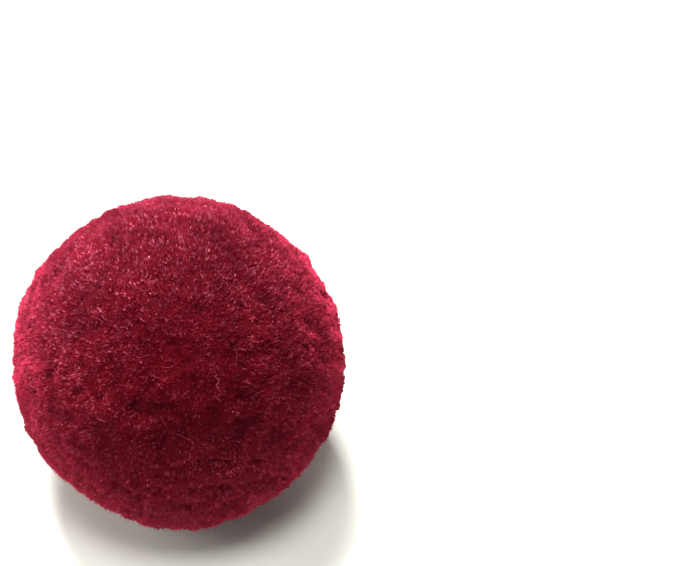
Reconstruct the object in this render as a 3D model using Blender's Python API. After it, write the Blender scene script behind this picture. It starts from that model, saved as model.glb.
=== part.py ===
"""A dense yarn pom pom, trimmed to a ball and resting on a small flat spot under it.

The yarn stands in locks. The ball's skin is divided into almost 300 cells of three or four sides, and
each cell grows one lock out of a small core, where all the roots are fused. The origin is on the
surface that the pom pom rests on, under the middle of it. Metres, +Z up.
"""

import math
import random

import bmesh
import bpy
from mathutils import Vector

# Driving dimensions, in metres.
BALL_RADIUS = 0.025
CORE_RADIUS = 0.0085
REST_SPOT_RADIUS = 0.0072
LENGTH_UNEVENNESS = 0.0004
FLOOR_CLEARANCE = 0.0003

# How the skin is divided.
CELL_CORNERS = 264
CORNER_CHOICES = 14
RELAX_STEPS = 6
SEED = 3

# The rings up the side of a lock: how far along the lock's length each one stands, and how much of the
# lock's cell it fills there.
LOCK_RINGS = (
    {"name": "waist", "along": 0.50, "fill": 0.86},
    {"name": "shoulder", "along": 0.90, "fill": 0.92},
    {"name": "brow", "along": 0.97, "fill": 0.79},
    {"name": "crown", "along": 0.995, "fill": 0.44},
)
FILL_UNEVENNESS = 0.04

# Where the shears left the ball flatter or fuller: the bearing and height of each place in degrees, how
# far it reaches round the ball in degrees, and how proud of the ball the skin stands there in metres.
TRIM = (
    {"bearing": 49, "height": 33, "reach": 14, "proud": -0.0003},
    {"bearing": -136, "height": -31, "reach": 14, "proud": -0.0005},
    {"bearing": 162, "height": 15, "reach": 14, "proud": 0.00045},
    {"bearing": -77, "height": -40, "reach": 16, "proud": 0.00055},
    {"bearing": -19, "height": -16, "reach": 7, "proud": 0.00045},
)

YARN_COLOUR = (0.19, 0.010, 0.022, 1.0)
YARN_ROUGHNESS = 0.95

CENTRE = Vector((0, 0, math.sqrt(BALL_RADIUS**2 - REST_SPOT_RADIUS**2)))
DOWN = Vector((0, 0, -1))


def clear_scene():
    for obj in list(bpy.data.objects):
        bpy.data.objects.remove(obj)


def direction(bearing, height):
    """The unit vector at a bearing round +Z from +X and a height above the horizon, in degrees."""
    turn, rise = math.radians(bearing), math.radians(height)
    return Vector((math.cos(rise) * math.cos(turn), math.cos(rise) * math.sin(turn), math.sin(rise)))


def scattered_directions(rng):
    """Unit vectors that keep apart from one another: each is the loneliest of a few random ones."""
    chosen = [DOWN]
    while len(chosen) < CELL_CORNERS:
        choices = [Vector([rng.gauss(0, 1) for _ in range(3)]).normalized() for _ in range(CORNER_CHOICES)]
        chosen.append(min(choices, key=lambda choice: max(choice.dot(other) for other in chosen)))
    return chosen


def skin_cells(rng):
    """A closed unit ball of three- and four-sided cells, with the middle of one cell straight down."""
    ball = bmesh.new()
    for corner in scattered_directions(rng):
        ball.verts.new(corner)
    bmesh.ops.convex_hull(ball, input=ball.verts)
    bmesh.ops.join_triangles(
        ball, faces=ball.faces, angle_face_threshold=math.pi, angle_shape_threshold=math.pi
    )
    for _ in range(RELAX_STEPS):
        pulls = [
            sum((cell.calc_area() * cell.calc_center_median() for cell in v.link_faces), Vector())
            for v in ball.verts
        ]
        for v, pull in zip(ball.verts, pulls):
            v.co = pull.normalized()
    lowest = min(ball.faces, key=lambda face: face.calc_center_median().z)
    turn = lowest.calc_center_median().rotation_difference(DOWN)
    bmesh.ops.transform(ball, matrix=turn.to_matrix().to_4x4(), verts=ball.verts)
    return ball


def skin_radius(way):
    """How far the trimmed skin stands from the ball's centre along a unit vector."""
    radius = BALL_RADIUS
    for place in TRIM:
        away = math.degrees(way.angle(direction(place["bearing"], place["height"])))
        radius += place["proud"] * math.exp(-((away / place["reach"]) ** 2))
    return radius


def lock_point(way, reach, rests):
    """The point a reach from the centre along a unit vector, or nearer where the floor is in the way."""
    clearance = 0 if rests else FLOOR_CLEARANCE
    if reach * -way.z > CENTRE.z - clearance:
        reach = (CENTRE.z - clearance) / -way.z
    return CENTRE + reach * way


def grow_lock(pile, roots, corners, rng):
    """Adds one lock: its sides from ring to ring, and the low point that closes its crown."""
    axis = sum(corners, Vector()).normalized()
    length = skin_radius(axis) + LENGTH_UNEVENNESS * rng.uniform(-1, 1)
    fullness = 1 + FILL_UNEVENNESS * rng.uniform(-1, 1)
    rests = BALL_RADIUS * -axis.z > CENTRE.z
    lower = roots
    for ring in LOCK_RINGS:
        reach = CORE_RADIUS + (length - CORE_RADIUS) * ring["along"]
        ways = [axis.lerp(corner, ring["fill"] * fullness).normalized() for corner in corners]
        upper = [pile.verts.new(lock_point(way, reach, rests)) for way in ways]
        for i in range(len(corners)):
            pile.faces.new((lower[i - 1], lower[i], upper[i], upper[i - 1]))
        lower = upper
    point = pile.verts.new(lock_point(axis, length, rests))
    for i in range(len(corners)):
        pile.faces.new((lower[i - 1], lower[i], point))


def build_pom_pom():
    """One closed body: the core, and a lock on each of its cells."""
    rng = random.Random(SEED)
    cells = skin_cells(rng)
    pile = bmesh.new()
    roots = {v: pile.verts.new(CENTRE + CORE_RADIUS * v.co) for v in cells.verts}
    for cell in cells.faces:
        grow_lock(pile, [roots[v] for v in cell.verts], [v.co for v in cell.verts], rng)
    bmesh.ops.recalc_face_normals(pile, faces=pile.faces)
    mesh = bpy.data.meshes.new("pom_pom")
    pile.to_mesh(mesh)
    cells.free()
    pile.free()
    return mesh


def centre_over_origin(mesh):
    """Moves the mesh level, until the middle of its box is over the origin."""
    for axis in (0, 1):
        across = [v.co[axis] for v in mesh.vertices]
        middle = (min(across) + max(across)) / 2
        for v in mesh.vertices:
            v.co[axis] -= middle


def yarn_material():
    material = bpy.data.materials.new("crimson_yarn")
    material.use_nodes = True
    shader = material.node_tree.nodes["Principled BSDF"]
    shader.inputs["Base Color"].default_value = YARN_COLOUR
    shader.inputs["Roughness"].default_value = YARN_ROUGHNESS
    return material


clear_scene()
pom_pom = build_pom_pom()
centre_over_origin(pom_pom)
pom_pom.materials.append(yarn_material())
bpy.context.scene.collection.objects.link(bpy.data.objects.new("pom_pom", pom_pom))
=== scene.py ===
"""Dresses the yarn pom pom: a dense pile of cut crimson fibres over a dark heart of yarn, with a few
stray hairs, on a plain pale floor under a soft studio light. Metres, +Z up.
"""

import math

import bmesh
import bpy
import numpy as np
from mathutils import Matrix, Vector, noise


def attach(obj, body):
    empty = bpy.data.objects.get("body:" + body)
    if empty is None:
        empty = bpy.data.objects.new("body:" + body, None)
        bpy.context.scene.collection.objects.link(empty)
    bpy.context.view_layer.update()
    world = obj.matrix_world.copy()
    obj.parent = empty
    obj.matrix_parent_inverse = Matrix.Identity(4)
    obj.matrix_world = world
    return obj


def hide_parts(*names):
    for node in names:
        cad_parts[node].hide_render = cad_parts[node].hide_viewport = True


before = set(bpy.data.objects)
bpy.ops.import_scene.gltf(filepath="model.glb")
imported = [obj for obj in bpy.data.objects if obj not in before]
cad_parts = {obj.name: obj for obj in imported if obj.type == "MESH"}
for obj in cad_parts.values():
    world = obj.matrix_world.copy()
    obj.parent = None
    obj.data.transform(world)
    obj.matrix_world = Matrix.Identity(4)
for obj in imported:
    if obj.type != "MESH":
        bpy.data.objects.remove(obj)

bl_info = {
    "name": "Yarn Pom Pom",
    "version": (1, 0, 0),
    "blender": (4, 5, 0),
    "location": "View3D > Sidebar > Pom Pom",
    "description": "Makes the cut pile, heart, stray hairs and studio of a dense yarn pom pom",
    "category": "Object",
}

NODE = "pom_pom"
BODY = "root"

# The level bands that the pile is grown in, how fine the triangles of each skin are, the middle of a
# noise's colour, and how far a line looks for the skin, in metres.
BANDS = 5
SKIN_FINENESS = 6
HAIR_SKIN_FINENESS = 5
MIDDLE = (0.5, 0.5, 0.5)
LINE_REACH = 0.1

# The partings: how lucky a place is where one starts to open, how much luckier where it is fully open,
# and where in the noise they are looked up.
PARTING_RARITY = 0.10
PARTING_EDGE = 0.20
PARTING_SHIFT = Vector((7.3, 2.1, 4.9))

# The noise that the patches of the ball, the clumps of tips, the curl of the hairs and the lumps of the
# heart follow; a scale is in swells a metre.
PATCH_NOISE = {"Scale": 200.0, "Detail": 3.0}
GRAIN_NOISE = {"Scale": 2300.0, "Detail": 1.0}
CURL_NOISE = {"Scale": 800.0, "Detail": 0.0}
HEART_NOISE = {"Scale": 1400.0, "Detail": 3.0}

# The seed of each thing that is left to chance, for the pile and for the hairs. The fibres of a band are
# sown with the band's own number.
PILE_SEEDS = {
    "wander": 3,
    "pride": 4,
    "tufts": 5,
    "spin": 6,
    "width": 7,
    "tint": 8,
    "tuft_tint": 9,
    "shine": 10,
    "tuft_height": 11,
    "tuft_tilt": 12,
    "glow": 13,
    "own_way": 14,
}
HAIR_SEEDS = {"hairs": 1, "spin": 6, "length": 7, "luck": 8}

# The fibres' shapes: the most tufts on a square metre, how far patches of the ball turn the nap, how
# rare proud fibres are and how far they wander, how widths differ, and how a proud fibre is slimmer.
TUFT_CROWDING = 6.0e6
PATCH_TURN = 0.8
PROUD_RARITY = 10.0
PROUD_WANDER = 0.6
WIDTH_LEAST, WIDTH_MOST = 0.8, 1.2
SHINING_EXTRA_WIDTH = 0.3
PROUD_SLIMMING = {"From Min": 0.1, "From Max": 0.5, "To Min": 1.0, "To Max": 0.35}

# A fibre's tone, from 0, dark, to 1, light: how it follows its patch, the painted shade of a parting
# and the painted shade on the way to its root, and what the darkest and the lightest tone multiply
# its colour by.
PATCH_TONE_GAIN, PATCH_TONE_SHIFT = 2.6, -0.8
PARTING_PAINTED_SHADE = 0.3
ROOT_PAINTED_SHADE = 0.35
DARKEST, LIGHTEST = 0.50, 1.56

# A fibre's tint, from 0, deep, to 1, a painted glint: how it follows its tuft, its clump of tips and
# chance, how far plain fibres go, where the shining ones with their painted highlight lie, and the tint
# at which each colour of the yarn stands. The brighter clumps of tips are partly their own tone and
# partly painted highlight.
TUFT_TINT_SPREAD, TUFT_TINT_LEAST = 0.26, 0.27
GRAIN_TINT_BEND, GRAIN_TINT_GAIN = 3.0, 2.5
OWN_TINT = 0.10
TINT_LEAST, TINT_MOST = 0.02, 0.90
GLOW_RARITY = 4.0
GLOW_SPREAD, GLOW_LEAST = 0.13, 0.86
TINT_STOPS = ((0.0, "deep"), (0.50, "crimson"), (0.88, "rose"), (0.98, "glint"))

# The hairs: the points along each, how rare long ones are and how short the others, how far apart they
# read the curl, how high they arch and how deep their ends sink, and their tone and tint.
HAIR_POINTS = 19
LONG_HAIR_RARITY = 5.0
SHORTEST_HAIR = 0.25
CURL_APART = 0.05
HAIR_ARCH, HAIR_SINK = 1.3, 0.35
HAIR_TONE = 0.5
HAIR_TINT_SPREAD, HAIR_TINT_LEAST = 0.30, 0.64

# The surfaces: how rough each is, how far the heart's colours are darkened beside the tips as painted
# shade between the fibres, where its colours meet and the lumps that it shows, and how much the floor
# shines; then the nearest thing that the camera sees.
PILE_ROUGHNESS = 0.75
HEART_ROUGHNESS = 0.95
SHEEN_ROUGHNESS = 0.5
HEART_PAINTED_SHADE = 0.8
HEART_STOPS = (0.35, 0.65)
HEART_BUMP = {"Strength": 0.8, "Distance": 0.0002}
FLOOR_ROUGHNESS = 0.9
FLOOR_GLOSS = 0.1
NEAREST_SEEN = 0.01

# The numbers that each tree is given, and the settings that they come from.
PILE_INPUTS = {
    "Density": "density",
    "Root Depth": "depth",
    "Fibre Width": "width",
    "Tuft Pitch": "tuft_pitch",
    "Tuft Pull": "tuft_pull",
    "Tuft Dome": "tuft_dome",
    "Tuft Step": "tuft_step",
    "Tuft Tilt": "tuft_tilt",
    "Lean": "lean",
    "Stray": "stray",
    "Proud": "proud",
    "Evenness": "evenness",
    "Grain Turn": "grain_turn",
    "Grain Step": "grain_step",
    "Unruliness": "unruliness",
    "Shining": "shining",
    "Cut End Evenness": "cut_end_evenness",
}
HAIR_INPUTS = {
    "Density": "density",
    "Hair Length": "length",
    "Hair Width": "width",
    "Hair Curl": "curl",
    "Proud": "proud",
}

# Where the shears left the ball flatter or fuller: the bearing and height of each place in degrees, how
# far it reaches round the ball in degrees, and how proud of the ball the skin stands there in metres.
TRIM = (
    {"bearing": 49, "height": 33, "reach": 14, "proud": -0.0003},
    {"bearing": -136, "height": -31, "reach": 14, "proud": -0.0005},
    {"bearing": 162, "height": 15, "reach": 14, "proud": 0.00045},
    {"bearing": -77, "height": -40, "reach": 16, "proud": 0.00055},
    {"bearing": -19, "height": -16, "reach": 7, "proud": 0.00045},
)

# The studio's soft lights: where each stands, its width, both in metres, and its power in watts.
LIGHTS = (
    {"name": "top_light", "place": (0.0, -0.20, 0.78), "size": 0.25, "power": 4.1},
    {"name": "back_light", "place": (-0.11, 0.27, 0.75), "size": 0.25, "power": 12.7},
    {"name": "left_light", "place": (-1.50, 0.30, 0.44), "size": 1.2, "power": 25.5},
    {"name": "rim_light", "place": (-0.10, 0.75, 0.25), "size": 0.5, "power": 1.7},
    {"name": "front_light", "place": (-0.15, -0.70, 0.20), "size": 0.5, "power": 0.7},
)


def size_of(name, description, default):
    """A length that a user may change."""
    return bpy.props.FloatProperty(name=name, description=description, default=default, unit="LENGTH")


def share_of(name, description, default):
    """A share, from none to all, that a user may change."""
    return bpy.props.FloatProperty(
        name=name, description=description, default=default, subtype="FACTOR"
    )


def colour_of(name, description, default):
    """A colour that a user may change."""
    return bpy.props.FloatVectorProperty(
        name=name, description=description, default=default, subtype="COLOR"
    )


class BallSettings(bpy.types.PropertyGroup):
    """The trimmed ball that the pile fills."""

    radius: size_of("Radius", "Radius of the trimmed ball", 0.025)
    rest_spot: size_of("Rest Spot", "Radius of the pressed spot under the ball", 0.0072)
    relief: size_of("Relief", "How far the trimmed skin swells and dips", 0.00023)
    relief_size: size_of("Relief Size", "Size of the swells and dips", 0.0034)
    ripple: size_of("Ripple", "How far the small lumps on the skin swell and dip", 0.00019)
    ripple_size: size_of("Ripple Size", "Size of the small lumps", 0.0014)
    parting: size_of("Parting", "How deep the partings between locks are", 0.0004)
    parting_size: size_of("Parting Size", "Size of the partings between locks", 0.0030)
    heart_depth: size_of("Heart Depth", "How deep the dark heart lies under the skin", 0.00042)


class PileSettings(bpy.types.PropertyGroup):
    """The cut fibres of the pile."""

    density: bpy.props.FloatProperty(
        name="Density", description="Fibres sown on a square metre of skin", default=26.2e6
    )
    depth: size_of("Root Depth", "How deep under the skin a fibre's root lies", 0.0010)
    width: size_of("Fibre Width", "Width of a fibre at its cut tip", 0.000165)
    tuft_pitch: size_of("Tuft Pitch", "Least distance between two tufts", 0.0011)
    tuft_pull: share_of("Tuft Pull", "How far a fibre's tip is drawn to its tuft", 0.12)
    tuft_dome: size_of("Tuft Dome", "How far a tuft's edge falls below its top", 0.00012)
    tuft_step: size_of("Tuft Step", "How far some tufts stand above others", 0.00017)
    tuft_tilt: share_of("Tuft Tilt", "How far each tuft leans its own way", 0.28)
    lean: size_of("Lean", "How far neighbouring tips lean together", 0.0003)
    stray: size_of("Stray", "How far a single tip strays", 0.00012)
    proud: size_of("Proud", "How far the longest fibres stand proud", 0.00046)
    evenness: share_of("Evenness", "How far the skin's small lumps are left out of the shading", 1.0)
    grain_turn: bpy.props.FloatProperty(
        name="Grain Turn",
        description="How far small clumps of tips catch the light their own way",
        default=1.6,
    )
    grain_step: size_of("Grain Step", "How far small clumps of tips stand above others", 0.0008)
    unruliness: share_of("Unruliness", "How far each fibre catches the light its own way", 0.20)
    # The shining fibres carry a painted highlight: their tint is lifted towards the glint colour.
    shining: share_of("Shining", "Share of the fibres that shine", 0.04)
    cut_end_evenness: share_of(
        "Cut End Evenness", "How far the fibres' cut ends take their tuft's colour", 0.80
    )
    roundness: share_of("Roundness", "How far fibres are shaded as one round ball", 0.88)


class HairSettings(bpy.types.PropertyGroup):
    """The stray hairs that lie on the pile."""

    density: bpy.props.FloatProperty(
        name="Hair Density", description="Stray hairs on a square metre of skin", default=50000.0
    )
    length: size_of("Hair Length", "Length of the longest stray hairs", 0.0042)
    width: size_of("Hair Width", "Width of a stray hair", 0.00005)
    curl: size_of("Hair Curl", "How far a stray hair winds from its line", 0.0022)
    proud: size_of("Hair Proud", "How far a stray hair arches above the pile", 0.00030)


class YarnSettings(bpy.types.PropertyGroup):
    """The colours of the yarn."""

    deep: colour_of("Deep Crimson", "Colour of the darkest tips", (0.074, 0.0012, 0.0040))
    crimson: colour_of("Crimson", "Colour of most tips", (0.105, 0.0051, 0.0121))
    # The rose of the brightest tips is partly the yarn's own lighter tone, partly painted highlight.
    rose: colour_of("Rose", "Colour of the brightest tips", (0.190, 0.0315, 0.0540))
    # The glint is a painted highlight, the colour of the light that the few shining fibres catch.
    glint: colour_of("Glint", "Colour of the few shining fibres", (0.75, 0.160, 0.240))
    sheen: colour_of("Sheen", "Colour of the soft sheen at the rim", (0.90, 0.063, 0.142))


class StageSettings(bpy.types.PropertyGroup):
    """The floor, light and camera."""

    floor_colour: colour_of("Floor", "Colour of the pale floor", (0.90, 0.91, 0.83))
    floor_size: size_of("Floor Size", "Width of the floor", 4.0)
    sky: bpy.props.FloatProperty(
        name="Sky", description="Strength of the even light all round", default=0.10
    )
    camera_elevation: bpy.props.FloatProperty(
        name="Camera Elevation",
        description="Angle that the camera looks down at",
        default=math.radians(47.5),
        unit="ROTATION",
    )
    camera_depth: size_of(
        "Camera Depth", "Distance from the camera to the ball, along the view", 0.3725
    )
    camera_right: size_of("Camera Right", "How far the view's middle lies right of the ball", 0.02447)
    camera_up: size_of("Camera Up", "How far the view's middle lies above the ball", 0.01185)
    field_of_view: bpy.props.FloatProperty(
        name="Field of View",
        description="Width of the camera's view",
        default=math.radians(15.8),
        unit="ROTATION",
    )


def direction(bearing, height):
    """The unit vector at a bearing round +Z from +X and a height above the horizon, in degrees."""
    turn, rise = math.radians(bearing), math.radians(height)
    return Vector((math.cos(rise) * math.cos(turn), math.cos(rise) * math.sin(turn), math.sin(rise)))


def ball_centre(ball):
    """The middle of the ball, which sinks onto its rest spot."""
    return Vector((0, 0, math.sqrt(ball.radius**2 - ball.rest_spot**2)))


def parting_at(ball, way):
    """How far the locks part along a unit vector, from 0, closed, to 1, open."""
    luck = noise.noise(way * (ball.radius / ball.parting_size) + PARTING_SHIFT)
    share = min(max((luck - PARTING_RARITY) / PARTING_EDGE, 0.0), 1.0)
    return share * share * (3 - 2 * share)


def skin_point(ball, way, inward=0.0):
    """The point of the trimmed skin, or so far inward of it, along a unit vector from the centre."""
    radius = ball.radius - ball.parting * parting_at(ball, way)
    for place in TRIM:
        away = math.degrees(way.angle(direction(place["bearing"], place["height"])))
        radius += place["proud"] * math.exp(-((away / place["reach"]) ** 2))
    radius += 2 * ball.relief * noise.noise(way * (ball.radius / ball.relief_size))
    radius += 2 * ball.ripple * noise.noise(way * (ball.radius / ball.ripple_size))
    centre = ball_centre(ball)
    if radius * -way.z > centre.z:
        radius = centre.z / -way.z
    return centre + (radius - inward) * way


def skin_mesh(ball, name, subdivisions, inward=0.0):
    """A closed ball of small triangles on the trimmed skin, or so far inward of it."""
    form = bmesh.new()
    bmesh.ops.create_icosphere(form, subdivisions=subdivisions, radius=1)
    ways = [vertex.co.normalized() for vertex in form.verts]
    for vertex, way in zip(form.verts, ways):
        vertex.co = skin_point(ball, way, inward)
    mesh = bpy.data.meshes.new(name)
    form.to_mesh(mesh)
    form.free()
    mesh.shade_smooth()
    parting = mesh.attributes.new("parting", "FLOAT", "POINT")
    parting.data.foreach_set("value", [parting_at(ball, way) for way in ways])
    return mesh


def put_in_scene(name, mesh):
    """A new object of the scene, at the origin, with its place in its mesh."""
    piece = bpy.data.objects.new(name, mesh)
    bpy.context.scene.collection.objects.link(piece)
    return piece


def add_node(tree, kind, wires=None, **settings):
    """Adds a node, sets it up, and wires or fills its inputs, which are named or numbered."""
    node = tree.nodes.new(kind)
    for key, value in settings.items():
        setattr(node, key, value)
    for key, value in (wires or {}).items():
        if isinstance(value, bpy.types.NodeSocket):
            tree.links.new(value, node.inputs[key])
        else:
            node.inputs[key].default_value = value
    return node


def sums(tree, operation, a, b=0.0, c=0.0):
    """A number worked out from others."""
    return add_node(tree, "ShaderNodeMath", {0: a, 1: b, 2: c}, operation=operation).outputs[0]


def vectors(tree, operation, a, b=(0, 0, 0)):
    """A vector worked out from two others."""
    return add_node(tree, "ShaderNodeVectorMath", {0: a, 1: b}, operation=operation).outputs["Vector"]


def scaled(tree, vector, scale):
    """A vector made longer or shorter."""
    wires = {0: vector, "Scale": scale}
    return add_node(tree, "ShaderNodeVectorMath", wires, operation="SCALE").outputs["Vector"]


def length_of(tree, vector):
    """How long a vector is."""
    return add_node(tree, "ShaderNodeVectorMath", {0: vector}, operation="LENGTH").outputs["Value"]


def within(tree, value, least, most):
    """A number kept between two others."""
    return sums(tree, "MINIMUM", sums(tree, "MAXIMUM", value, least), most)


def noise_at(tree, place, look):
    """The noise of one look at a place: its number and its colour."""
    return add_node(tree, "ShaderNodeTexNoise", {"Vector": place, **look}).outputs


def off_middle(tree, colour):
    """A noise's colour as a vector that points each way as often."""
    return vectors(tree, "SUBTRACT", colour, MIDDLE)


def chance(tree, low, high, seed, kind="FLOAT", who=None):
    """A random number or vector for each fibre, or for each of those that an index names."""
    node = add_node(tree, "FunctionNodeRandomValue", data_type=kind)
    index = {"FLOAT": (2, 3, 1), "FLOAT_VECTOR": (0, 1, 0)}[kind]
    node.inputs[index[0]].default_value = low
    node.inputs[index[1]].default_value = high
    node.inputs["Seed"].default_value = seed
    if who is not None:
        tree.links.new(who, node.inputs["ID"])
    return node.outputs[index[2]]


def chance_way(tree, seed, who=None):
    """A random vector in a cube that reaches one unit each way."""
    return chance(tree, (-1, -1, -1), (1, 1, 1), seed, "FLOAT_VECTOR", who)


def kept(tree, geometry, name, kind, domain, value):
    """Geometry with a named attribute kept on it."""
    wires = {"Geometry": geometry, "Name": name}
    node = add_node(
        tree, "GeometryNodeStoreNamedAttribute", wires, data_type=kind, domain=domain
    )
    tree.links.new(value, node.inputs["Value"])
    return node.outputs["Geometry"]


def recalled(tree, name, kind="FLOAT"):
    """A named attribute read back from the geometry."""
    node = add_node(tree, "GeometryNodeInputNamedAttribute", {"Name": name}, data_type=kind)
    return node.outputs["Attribute"]


def new_tree(name, inputs):
    """A geometry-node tree with named inputs."""
    tree = bpy.data.node_groups.new(name, "GeometryNodeTree")
    tree.interface.new_socket("Geometry", in_out="OUTPUT", socket_type="NodeSocketGeometry")
    tree.interface.new_socket("Geometry", in_out="INPUT", socket_type="NodeSocketGeometry")
    for label, kind in inputs.items():
        tree.interface.new_socket(label, in_out="INPUT", socket_type=kind)
    entry = tree.nodes.new("NodeGroupInput")
    return tree, entry.outputs


def above_floor(tree, position, least=0.0):
    """A position lifted to the floor, or so far above it, where it would lie lower."""
    parts = add_node(tree, "ShaderNodeSeparateXYZ", {0: position}).outputs
    level = sums(tree, "MAXIMUM", parts[2], least)
    return add_node(tree, "ShaderNodeCombineXYZ", {0: parts[0], 1: parts[1], 2: level}).outputs[0]


def finished(tree, grown, tone, tint, yarn):
    """Lifts what has grown to the floor, charts its colours and gives it its yarn."""
    place = add_node(tree, "GeometryNodeInputPosition").outputs[0]
    grown = add_node(
        tree, "GeometryNodeSetPosition", {"Geometry": grown, "Position": above_floor(tree, place)}
    ).outputs[0]
    chart = add_node(tree, "ShaderNodeCombineXYZ", {0: tone, 1: tint}).outputs[0]
    grown = kept(tree, grown, "OFBake", "FLOAT2", "CORNER", chart)
    grown = add_node(tree, "GeometryNodeSetMaterial", {"Geometry": grown, "Material": yarn}).outputs[0]
    add_node(tree, "NodeGroupOutput", {0: grown})
    return tree


def on_skin(tree, skin, centre, aim):
    """Where a line from the ball's centre meets the skin, and the skin's normal there."""
    cast = add_node(
        tree,
        "GeometryNodeRaycast",
        {
            "Target Geometry": skin,
            "Attribute": add_node(tree, "GeometryNodeInputNormal").outputs[0],
            "Source Position": centre,
            "Ray Direction": aim,
            "Ray Length": LINE_REACH,
        },
        data_type="FLOAT_VECTOR",
        mapping="INTERPOLATED",
    ).outputs
    return cast["Hit Position"], cast["Attribute"]


def spun(tree, rotation, seed):
    """A rotation turned by chance about its own Z."""
    wires = {"Axis": (0, 0, 1), "Angle": chance(tree, 0.0, math.tau, seed)}
    spin = add_node(tree, "FunctionNodeAxisAngleToRotation", wires).outputs[0]
    wires = {0: rotation, 1: spin}
    return add_node(tree, "FunctionNodeRotateRotation", wires, rotation_space="LOCAL").outputs[0]


def pile_tree():
    """Sows fibres on one band of the skin, gathers them in tufts and cuts them off at the skin."""
    tree, given = new_tree(
        "Cut Pile",
        {
            "Centre": "NodeSocketVector",
            "Band": "NodeSocketInt",
            **dict.fromkeys(PILE_INPUTS, "NodeSocketFloat"),
            "Seed": "NodeSocketInt",
            "Yarn": "NodeSocketMaterial",
        },
    )
    skin, centre = given["Geometry"], given["Centre"]

    # Where the fibres and the tufts stand.
    in_band = add_node(tree, "FunctionNodeCompare", data_type="INT", operation="EQUAL")
    tree.links.new(recalled(tree, "band", "INT"), in_band.inputs[2])
    tree.links.new(given["Band"], in_band.inputs[3])
    sown = add_node(
        tree,
        "GeometryNodeDistributePointsOnFaces",
        {
            "Mesh": skin,
            "Selection": in_band.outputs[0],
            "Density": given["Density"],
            "Seed": given["Seed"],
        },
        distribute_method="RANDOM",
    ).outputs["Points"]
    tufts = add_node(
        tree,
        "GeometryNodeDistributePointsOnFaces",
        {
            "Mesh": skin,
            "Distance Min": given["Tuft Pitch"],
            "Density Max": TUFT_CROWDING,
            "Seed": PILE_SEEDS["tufts"],
        },
        distribute_method="POISSON",
    ).outputs["Points"]

    # The tuft, patch and clump that a fibre is in, and what they give it.
    place = add_node(tree, "GeometryNodeInputPosition").outputs[0]
    nearest = add_node(
        tree, "GeometryNodeSampleNearest", {"Geometry": tufts}, domain="POINT"
    ).outputs["Index"]
    tuft = add_node(
        tree,
        "GeometryNodeSampleIndex",
        {"Geometry": tufts, "Index": nearest},
        data_type="FLOAT_VECTOR",
        domain="POINT",
    )
    tree.links.new(place, tuft.inputs["Value"])
    to_tuft = vectors(tree, "SUBTRACT", tuft.outputs["Value"], place)
    tuft_tint = chance(tree, 0.0, 1.0, PILE_SEEDS["tuft_tint"], who=nearest)
    tuft_height = chance(tree, -1.0, 1.0, PILE_SEEDS["tuft_height"], who=nearest)
    tilt = scaled(tree, chance_way(tree, PILE_SEEDS["tuft_tilt"], nearest), given["Tuft Tilt"])
    patch = noise_at(tree, place, PATCH_NOISE)
    drift = off_middle(tree, patch["Color"])
    grain = noise_at(tree, place, GRAIN_NOISE)
    parting = recalled(tree, "parting")

    # The way that a fibre points, and the nap that it is shaded by.
    pulled = vectors(tree, "ADD", place, scaled(tree, to_tuft, given["Tuft Pull"]))
    pulled = vectors(tree, "ADD", pulled, scaled(tree, drift, given["Lean"]))
    pulled = vectors(tree, "ADD", pulled, scaled(tree, tilt, given["Lean"]))
    wander = chance_way(tree, PILE_SEEDS["wander"])
    pulled = vectors(tree, "ADD", pulled, scaled(tree, wander, given["Stray"]))
    aim = vectors(tree, "NORMALIZE", vectors(tree, "SUBTRACT", pulled, centre))
    hit, normal = on_skin(tree, skin, centre, aim)
    nap = vectors(tree, "ADD", normal, scaled(tree, aim, given["Evenness"]))
    nap = vectors(tree, "ADD", vectors(tree, "ADD", nap, tilt), scaled(tree, drift, PATCH_TURN))
    turn = off_middle(tree, grain["Color"])
    nap = vectors(tree, "ADD", nap, scaled(tree, turn, given["Grain Turn"]))
    own_way = scaled(tree, chance_way(tree, PILE_SEEDS["own_way"]), given["Unruliness"])
    nap = vectors(tree, "NORMALIZE", vectors(tree, "ADD", nap, own_way))

    # Where its tip is cut off and where its root lies.
    off_top = sums(tree, "DIVIDE", length_of(tree, to_tuft), given["Tuft Pitch"])
    fall = sums(tree, "MULTIPLY", sums(tree, "POWER", off_top, 2.0), given["Tuft Dome"])
    fall = sums(tree, "SUBTRACT", fall, sums(tree, "MULTIPLY", tuft_height, given["Tuft Step"]))
    sink = sums(tree, "SUBTRACT", 0.5, grain["Fac"])
    fall = sums(tree, "ADD", fall, sums(tree, "MULTIPLY", sink, given["Grain Step"]))
    shines = sums(tree, "LESS_THAN", chance(tree, 0.0, 1.0, PILE_SEEDS["shine"]), given["Shining"])
    pride = sums(tree, "POWER", chance(tree, 0.0, 1.0, PILE_SEEDS["pride"]), PROUD_RARITY)
    extra = sums(tree, "MULTIPLY", pride, given["Proud"])
    tip = vectors(tree, "ADD", hit, scaled(tree, aim, sums(tree, "SUBTRACT", extra, fall)))
    aside = scaled(tree, wander, sums(tree, "MULTIPLY", extra, PROUD_WANDER))
    tip = vectors(tree, "ADD", tip, aside)
    outward = vectors(tree, "NORMALIZE", vectors(tree, "SUBTRACT", place, centre))
    root = vectors(tree, "SUBTRACT", place, scaled(tree, outward, given["Root Depth"]))
    reach = vectors(tree, "SUBTRACT", above_floor(tree, tip), root)

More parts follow.
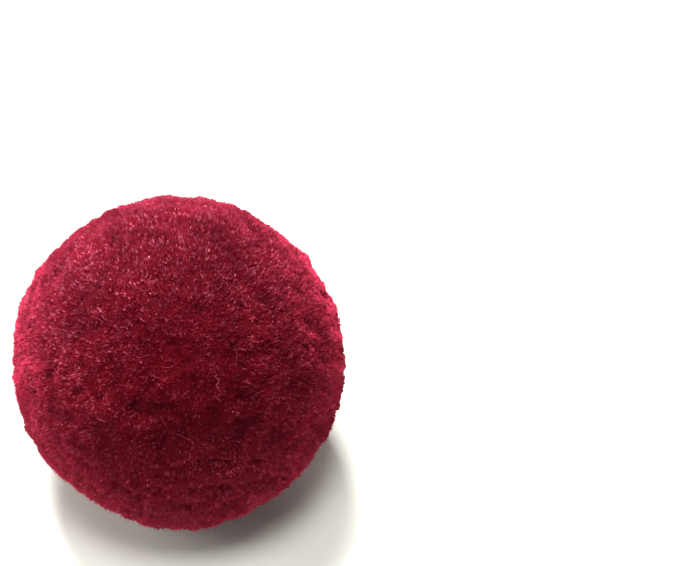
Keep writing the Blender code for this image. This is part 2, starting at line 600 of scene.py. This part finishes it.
    # The sliver itself: a point at its root and broad at its cut end.
    cone = add_node(
        tree,
        "GeometryNodeMeshCone",
        {
            "Vertices": 3,
            "Side Segments": 1,
            "Radius Top": 0.5,
            "Radius Bottom": 0.0,
            "Depth": 1.0,
        },
    ).outputs
    fibre = kept(tree, cone["Mesh"], "cut_end", "FLOAT", "FACE", cone["Top"])
    height = add_node(tree, "ShaderNodeSeparateXYZ", {0: place}).outputs["Z"]
    fibre = kept(tree, fibre, "along", "FLOAT", "POINT", height)
    turned = add_node(tree, "FunctionNodeAlignRotationToVector", {"Vector": reach}, axis="Z")
    turned = spun(tree, turned.outputs[0], PILE_SEEDS["spin"])
    luck = chance(tree, WIDTH_LEAST, WIDTH_MOST, PILE_SEEDS["width"])
    width = sums(tree, "MULTIPLY", given["Fibre Width"], luck)
    wider = sums(tree, "MULTIPLY_ADD", shines, SHINING_EXTRA_WIDTH, 1.0)
    width = sums(tree, "MULTIPLY", width, wider)
    slimmer = add_node(tree, "ShaderNodeMapRange", {"Value": pride, **PROUD_SLIMMING})
    width = sums(tree, "MULTIPLY", width, slimmer.outputs["Result"])
    size = {0: width, 1: width, 2: length_of(tree, reach)}
    size = add_node(tree, "ShaderNodeCombineXYZ", size).outputs[0]

    # Its tone, darkened in the partings as painted shade, and its tint.
    tone = sums(tree, "MULTIPLY_ADD", patch["Fac"], PATCH_TONE_GAIN, PATCH_TONE_SHIFT)
    tone = sums(tree, "SUBTRACT", tone, sums(tree, "MULTIPLY", parting, PARTING_PAINTED_SHADE))
    broad = sums(tree, "MULTIPLY_ADD", tuft_tint, TUFT_TINT_SPREAD, TUFT_TINT_LEAST)
    # The clumps of tips vary in tint, the rarer ones much brighter: partly their own tone, partly
    # painted highlight.
    off_mean = sums(tree, "SUBTRACT", grain["Fac"], 0.5)
    gain = sums(tree, "MULTIPLY_ADD", off_mean, GRAIN_TINT_BEND, GRAIN_TINT_GAIN)
    tint = sums(tree, "ADD", broad, sums(tree, "MULTIPLY", off_mean, gain))
    tint = sums(tree, "ADD", tint, chance(tree, -OWN_TINT, OWN_TINT, PILE_SEEDS["tint"]))
    tint = within(tree, tint, TINT_LEAST, TINT_MOST)
    # The shining fibres are lifted towards the glint colour as a painted highlight.
    glow = sums(tree, "POWER", chance(tree, 0.0, 1.0, PILE_SEEDS["glow"]), GLOW_RARITY)
    glow = sums(tree, "MULTIPLY_ADD", glow, GLOW_SPREAD, GLOW_LEAST)
    tint = sums(tree, "MAXIMUM", tint, sums(tree, "MULTIPLY", shines, glow))

    # Each point of the skin carries its own, and a sliver is put on it.
    ready = add_node(tree, "GeometryNodeCaptureAttribute", {"Geometry": sown}, domain="POINT")
    carried = (("VECTOR", "Root", root), ("ROTATION", "Turned", turned), ("VECTOR", "Size", size))
    for kind, name, value in carried:
        ready.capture_items.new(kind, name)
        tree.links.new(value, ready.inputs[name])
    points = kept(tree, ready.outputs["Geometry"], "tint", "FLOAT", "POINT", tint)
    points = kept(tree, points, "broad", "FLOAT", "POINT", broad)
    points = kept(tree, points, "tone", "FLOAT", "POINT", tone)
    points = kept(tree, points, "nap", "FLOAT_VECTOR", "POINT", nap)
    points = add_node(
        tree, "GeometryNodeSetPosition", {"Geometry": points, "Position": ready.outputs["Root"]}
    ).outputs[0]
    grown = add_node(
        tree,
        "GeometryNodeInstanceOnPoints",
        {
            "Points": points,
            "Instance": fibre,
            "Rotation": ready.outputs["Turned"],
            "Scale": ready.outputs["Size"],
        },
    ).outputs[0]
    grown = add_node(tree, "GeometryNodeRealizeInstances", {"Geometry": grown}).outputs[0]

    # The cut end takes its tuft's tint, so the painted highlights show mostly on the sides, and the
    # sides darken towards the root as painted shade deep in the pile.
    own = recalled(tree, "tint")
    duller = sums(tree, "SUBTRACT", recalled(tree, "broad"), own)
    duller = sums(tree, "MULTIPLY", duller, given["Cut End Evenness"])
    own = sums(tree, "ADD", own, sums(tree, "MULTIPLY", duller, recalled(tree, "cut_end")))
    depth = sums(tree, "MULTIPLY_ADD", recalled(tree, "along"), ROOT_PAINTED_SHADE, -ROOT_PAINTED_SHADE)
    tone = within(tree, sums(tree, "ADD", recalled(tree, "tone"), depth), 0.0, 1.0)
    return finished(tree, grown, tone, own, given["Yarn"])


def hair_tree():
    """Lays single curled hairs on the pile."""
    tree, given = new_tree(
        "Stray Hairs",
        {
            "Centre": "NodeSocketVector",
            **dict.fromkeys(HAIR_INPUTS, "NodeSocketFloat"),
            "Seed": "NodeSocketInt",
            "Yarn": "NodeSocketMaterial",
        },
    )
    skin, centre = given["Geometry"], given["Centre"]

    # Straight lines, some of them long, turned any way on the skin.
    sown = add_node(
        tree,
        "GeometryNodeDistributePointsOnFaces",
        {"Mesh": skin, "Density": given["Density"], "Seed": given["Seed"]},
        distribute_method="RANDOM",
    ).outputs
    ends = {"Start": (-0.5, 0, 0), "End": (0.5, 0, 0)}
    line = add_node(tree, "GeometryNodeCurvePrimitiveLine", ends).outputs[0]
    wires = {"Curve": line, "Count": HAIR_POINTS}
    line = add_node(tree, "GeometryNodeResampleCurve", wires).outputs[0]
    along = add_node(tree, "GeometryNodeSplineParameter").outputs["Factor"]
    long_ones = sums(tree, "POWER", chance(tree, 0.0, 1.0, HAIR_SEEDS["length"]), LONG_HAIR_RARITY)
    share = sums(tree, "MULTIPLY_ADD", long_ones, 1 - SHORTEST_HAIR, SHORTEST_HAIR)
    length = sums(tree, "MULTIPLY", given["Hair Length"], share)
    hairs = add_node(
        tree,
        "GeometryNodeInstanceOnPoints",
        {
            "Points": sown["Points"],
            "Instance": line,
            "Rotation": spun(tree, sown["Rotation"], HAIR_SEEDS["spin"]),
            "Scale": length,
        },
    ).outputs[0]
    luck = chance(tree, 0.0, 1.0, HAIR_SEEDS["luck"])
    hairs = kept(tree, hairs, "luck", "FLOAT", "INSTANCE", luck)
    hairs = add_node(tree, "GeometryNodeRealizeInstances", {"Geometry": hairs}).outputs[0]

    # They curl, each its own way, and arch a little off the skin.
    place = add_node(tree, "GeometryNodeInputPosition").outputs[0]
    luck = recalled(tree, "luck")
    apart = add_node(tree, "ShaderNodeCombineXYZ", {0: luck, 1: luck, 2: luck}).outputs[0]
    own_place = vectors(tree, "ADD", place, scaled(tree, apart, CURL_APART))
    curl = off_middle(tree, noise_at(tree, own_place, CURL_NOISE)["Color"])
    bent = vectors(tree, "ADD", place, scaled(tree, curl, given["Hair Curl"]))
    aim = vectors(tree, "NORMALIZE", vectors(tree, "SUBTRACT", bent, centre))
    hit, _ = on_skin(tree, skin, centre, aim)
    arch = sums(tree, "SINE", sums(tree, "MULTIPLY", along, math.pi))
    rise = sums(tree, "MULTIPLY_ADD", arch, HAIR_ARCH, -HAIR_SINK)
    rise = sums(tree, "MULTIPLY", rise, given["Proud"])
    bent = vectors(tree, "ADD", hit, scaled(tree, aim, rise))
    bent = above_floor(tree, bent, given["Hair Width"])
    wires = {"Geometry": hairs, "Position": bent}
    hairs = add_node(tree, "GeometryNodeSetPosition", wires).outputs[0]

    # Each line becomes a closed strand of three sides.
    half = sums(tree, "MULTIPLY", given["Hair Width"], 0.5)
    wires = {"Resolution": 3, "Radius": half}
    profile = add_node(tree, "GeometryNodeCurvePrimitiveCircle", wires).outputs[0]
    wires = {"Curve": hairs, "Profile Curve": profile, "Fill Caps": True}
    hairs = add_node(tree, "GeometryNodeCurveToMesh", wires).outputs[0]
    # The hairs' tint runs from crimson towards the glint: partly the paler look of a single fibre,
    # partly painted highlight.
    tint = sums(tree, "MULTIPLY_ADD", recalled(tree, "luck"), HAIR_TINT_SPREAD, HAIR_TINT_LEAST)
    return finished(tree, hairs, HAIR_TONE, tint, given["Yarn"])


def grow(name, skin, tree, values):
    """Bakes what a tree grows on the skin into a plain mesh, and returns it as a piece."""
    seedbed = put_in_scene(name + "_seedbed", skin)
    modifier = seedbed.modifiers.new("Grow", "NODES")
    modifier.node_group = tree
    for item in tree.interface.items_tree:
        if item.name in values:
            modifier[item.identifier] = values[item.name]
    evaluated = seedbed.evaluated_get(bpy.context.evaluated_depsgraph_get())
    mesh = bpy.data.meshes.new_from_object(evaluated)
    mesh.name = name
    bpy.data.objects.remove(seedbed)
    return put_in_scene(name, mesh)


def shade_round(mesh, roundness):
    """Turns the fibres' shading towards the nap of the skin, so that the pile shades as velvet does."""
    mesh.shade_smooth()
    nap, own = (np.empty(len(mesh.vertices) * 3, dtype=np.float32) for _ in range(2))
    mesh.attributes["nap"].data.foreach_get("vector", nap)
    mesh.vertex_normals.foreach_get("vector", own)
    mixed = (own * (1 - roundness) + nap * roundness).reshape(-1, 3)
    mesh.normals_split_custom_set_from_vertices(mixed / np.linalg.norm(mixed, axis=1, keepdims=True))


def new_material(name):
    """A new material, its node tree and its shader."""
    material = bpy.data.materials.new(name)
    material.use_nodes = True
    return material, material.node_tree, material.node_tree.nodes["Principled BSDF"]


def soften(shader, yarn, roughness):
    """Gives a shader the yarn's matt surface and soft sheen."""
    shader.inputs["Roughness"].default_value = roughness
    shader.inputs["Specular IOR Level"].default_value = 0.0
    shader.inputs["Sheen Weight"].default_value = 1.0
    shader.inputs["Sheen Roughness"].default_value = SHEEN_ROUGHNESS
    shader.inputs["Sheen Tint"].default_value = (*yarn.sheen, 1)


def yarn_material(yarn):
    """Crimson yarn: a fibre's tint picks its colour, up to a painted glint, and its tone makes that
    darker or lighter, with painted shade in the partings and towards the roots.
    """
    material, tree, shader = new_material("crimson_pile")
    chart = add_node(tree, "ShaderNodeUVMap", uv_map="OFBake").outputs[0]
    across = add_node(tree, "ShaderNodeSeparateXYZ", {0: chart}).outputs
    tones = add_node(tree, "ShaderNodeValToRGB", {0: across["Y"]})
    ramp = tones.color_ramp
    for place, colour in TINT_STOPS:
        stop = ramp.elements[0] if place == 0 else ramp.elements.new(place)
        stop.color = (*getattr(yarn, colour), 1)
    ramp.elements.remove(ramp.elements[-1])
    # The tone multiplies the colour: the yarn's random patches, with painted shade in the partings and
    # towards the roots.
    wires = {"Value": across["X"], "To Min": DARKEST, "To Max": LIGHTEST}
    shade = add_node(tree, "ShaderNodeMapRange", wires).outputs["Result"]
    colour = add_node(tree, "ShaderNodeMix", {0: 1.0}, data_type="RGBA", blend_type="MULTIPLY")
    tree.links.new(tones.outputs[0], colour.inputs[6])
    tree.links.new(shade, colour.inputs[7])
    tree.links.new(colour.outputs[2], shader.inputs["Base Color"])
    soften(shader, yarn, PILE_ROUGHNESS)
    return material


def heart_material(yarn):
    """The yarn between the fibres, its colours darkened as painted shade."""
    material, tree, shader = new_material("crimson_heart")
    place = add_node(tree, "ShaderNodeTexCoord").outputs["Object"]
    grain = noise_at(tree, place, HEART_NOISE)["Fac"]
    tones = add_node(tree, "ShaderNodeValToRGB", {0: grain})
    stops = zip(tones.color_ramp.elements, HEART_STOPS, (yarn.deep, yarn.crimson))
    for stop, place, colour in stops:
        stop.position = place
        # The heart's colours are darkened as painted shade between the fibres.
        stop.color = (*[part * HEART_PAINTED_SHADE for part in colour], 1)
    tree.links.new(tones.outputs[0], shader.inputs["Base Color"])
    bump = add_node(tree, "ShaderNodeBump", {"Height": grain, **HEART_BUMP}).outputs[0]
    tree.links.new(bump, shader.inputs["Normal"])
    soften(shader, yarn, HEART_ROUGHNESS)
    return material


def filled(inputs, settings):
    """What each named input of a tree is given, from the settings."""
    return {label: getattr(settings, key) for label, key in inputs.items()}


def finish_piece(piece):
    """Says what the piece rides on, and hides the solid of the node that it stands in for."""
    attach(piece, BODY)
    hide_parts(NODE)


class POMPOM_OT_heart(bpy.types.Operator):
    """Makes the lumpy heart of yarn under the tips, its colours darkened as painted shade."""

    bl_idname = "pom_pom.heart"
    bl_label = "Make Heart"

    def execute(self, context):
        scene = context.scene
        mesh = skin_mesh(scene.pom_ball, "heart", SKIN_FINENESS, scene.pom_ball.heart_depth)
        mesh.materials.append(heart_material(scene.pom_yarn))
        finish_piece(put_in_scene("heart", mesh))
        return {"FINISHED"}


class POMPOM_OT_pile(bpy.types.Operator):
    """Grows the cut pile, band by band from the rest spot up."""

    bl_idname = "pom_pom.pile"
    bl_label = "Grow Pile"

    def execute(self, context):
        scene = context.scene
        ball, pile = scene.pom_ball, scene.pom_pile
        centre = ball_centre(ball)
        skin = skin_mesh(ball, "skin", SKIN_FINENESS)
        levels = [(face.center - centre).normalized().z for face in skin.polygons]
        bands = [min(int((level + 1) / 2 * BANDS), BANDS - 1) for level in levels]
        skin.attributes.new("band", "INT", "FACE").data.foreach_set("value", bands)
        tree = pile_tree()
        yarn = yarn_material(scene.pom_yarn)
        for band in range(BANDS):
            piece = grow(
                f"pile_{band + 1}",
                skin,
                tree,
                {
                    "Centre": centre,
                    "Band": band,
                    **filled(PILE_INPUTS, pile),
                    "Seed": band,
                    "Yarn": yarn,
                },
            )
            shade_round(piece.data, pile.roundness)
            finish_piece(piece)
        return {"FINISHED"}


class POMPOM_OT_hairs(bpy.types.Operator):
    """Lays the few stray hairs on the pile."""

    bl_idname = "pom_pom.hairs"
    bl_label = "Lay Stray Hairs"

    def execute(self, context):
        scene = context.scene
        ball, hair = scene.pom_ball, scene.pom_hair
        piece = grow(
            "stray_hairs",
            skin_mesh(ball, "hair_skin", HAIR_SKIN_FINENESS),
            hair_tree(),
            {
                "Centre": ball_centre(ball),
                **filled(HAIR_INPUTS, hair),
                "Seed": HAIR_SEEDS["hairs"],
                "Yarn": yarn_material(scene.pom_yarn),
            },
        )
        piece.data.shade_smooth()
        finish_piece(piece)
        return {"FINISHED"}


class POMPOM_OT_stage(bpy.types.Operator):
    """Sets the plain floor, the soft light and the camera."""

    bl_idname = "pom_pom.stage"
    bl_label = "Set Stage"

    def execute(self, context):
        scene = context.scene
        stage = scene.pom_stage
        half = stage.floor_size / 2
        mesh = bpy.data.meshes.new("floor")
        corners = [(-half, -half, 0), (half, -half, 0), (half, half, 0), (-half, half, 0)]
        mesh.from_pydata(corners, [], [(0, 1, 2, 3)])
        floor = put_in_scene("floor", mesh)
        paint, _, shader = new_material("pale_floor")
        shader.inputs["Base Color"].default_value = (*stage.floor_colour, 1)
        shader.inputs["Roughness"].default_value = FLOOR_ROUGHNESS
        shader.inputs["Specular IOR Level"].default_value = FLOOR_GLOSS
        mesh.materials.append(paint)

        world = bpy.data.worlds.new("studio")
        world.use_nodes = True
        sky = world.node_tree.nodes["Background"]
        sky.inputs["Color"].default_value = (1, 1, 1, 1)
        sky.inputs["Strength"].default_value = stage.sky
        scene.world = world

        centre = ball_centre(scene.pom_ball)
        for row in LIGHTS:
            lamp = bpy.data.lights.new(row["name"], "AREA")
            lamp.size = row["size"]
            lamp.energy = row["power"]
            light = bpy.data.objects.new(row["name"], lamp)
            light.location = row["place"]
            to_ball = centre - Vector(row["place"])
            light.rotation_euler = to_ball.to_track_quat("-Z", "Y").to_euler()
            scene.collection.objects.link(light)

        tilt = stage.camera_elevation
        forward = Vector((0, math.cos(tilt), -math.sin(tilt)))
        up = Vector((0, math.sin(tilt), math.cos(tilt)))
        aim = centre + Vector((stage.camera_right, 0, 0)) + stage.camera_up * up
        camera = bpy.data.objects.new("camera", bpy.data.cameras.new("camera"))
        camera.data.angle = stage.field_of_view
        camera.data.clip_start = NEAREST_SEEN
        camera.location = aim - stage.camera_depth * forward
        camera.rotation_euler = forward.to_track_quat("-Z", "Y").to_euler()
        scene.collection.objects.link(camera)
        scene.camera = camera
        scene.view_settings.view_transform = "Standard"
        return {"FINISHED"}


class POMPOM_PT_sidebar(bpy.types.Panel):
    """Lists the pom pom's settings and steps."""

    bl_label = "Pom Pom"
    bl_idname = "POMPOM_PT_sidebar"
    bl_space_type = "VIEW_3D"
    bl_region_type = "UI"
    bl_category = "Pom Pom"

    def draw(self, context):
        for group in SETTINGS:
            settings = getattr(context.scene, group)
            for key in settings.bl_rna.properties.keys():
                if key not in ("name", "rna_type"):
                    self.layout.prop(settings, key)
        for step in STEPS:
            self.layout.operator(step.bl_idname)


SETTINGS = {
    "pom_ball": BallSettings,
    "pom_pile": PileSettings,
    "pom_hair": HairSettings,
    "pom_yarn": YarnSettings,
    "pom_stage": StageSettings,
}
STEPS = (POMPOM_OT_stage, POMPOM_OT_heart, POMPOM_OT_pile, POMPOM_OT_hairs)
CLASSES = (*SETTINGS.values(), *STEPS, POMPOM_PT_sidebar)


def register():
    for made in CLASSES:
        bpy.utils.register_class(made)
    for name, made in SETTINGS.items():
        setattr(bpy.types.Scene, name, bpy.props.PointerProperty(type=made))


def unregister():
    for name in SETTINGS:
        delattr(bpy.types.Scene, name)
    for made in reversed(CLASSES):
        bpy.utils.unregister_class(made)


def main():
    """Makes the studio and the pom pom."""
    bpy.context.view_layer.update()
    register()
    bpy.ops.pom_pom.stage()
    bpy.ops.pom_pom.heart()
    bpy.ops.pom_pom.pile()
    bpy.ops.pom_pom.hairs()


if __name__ == "__main__":
    main()
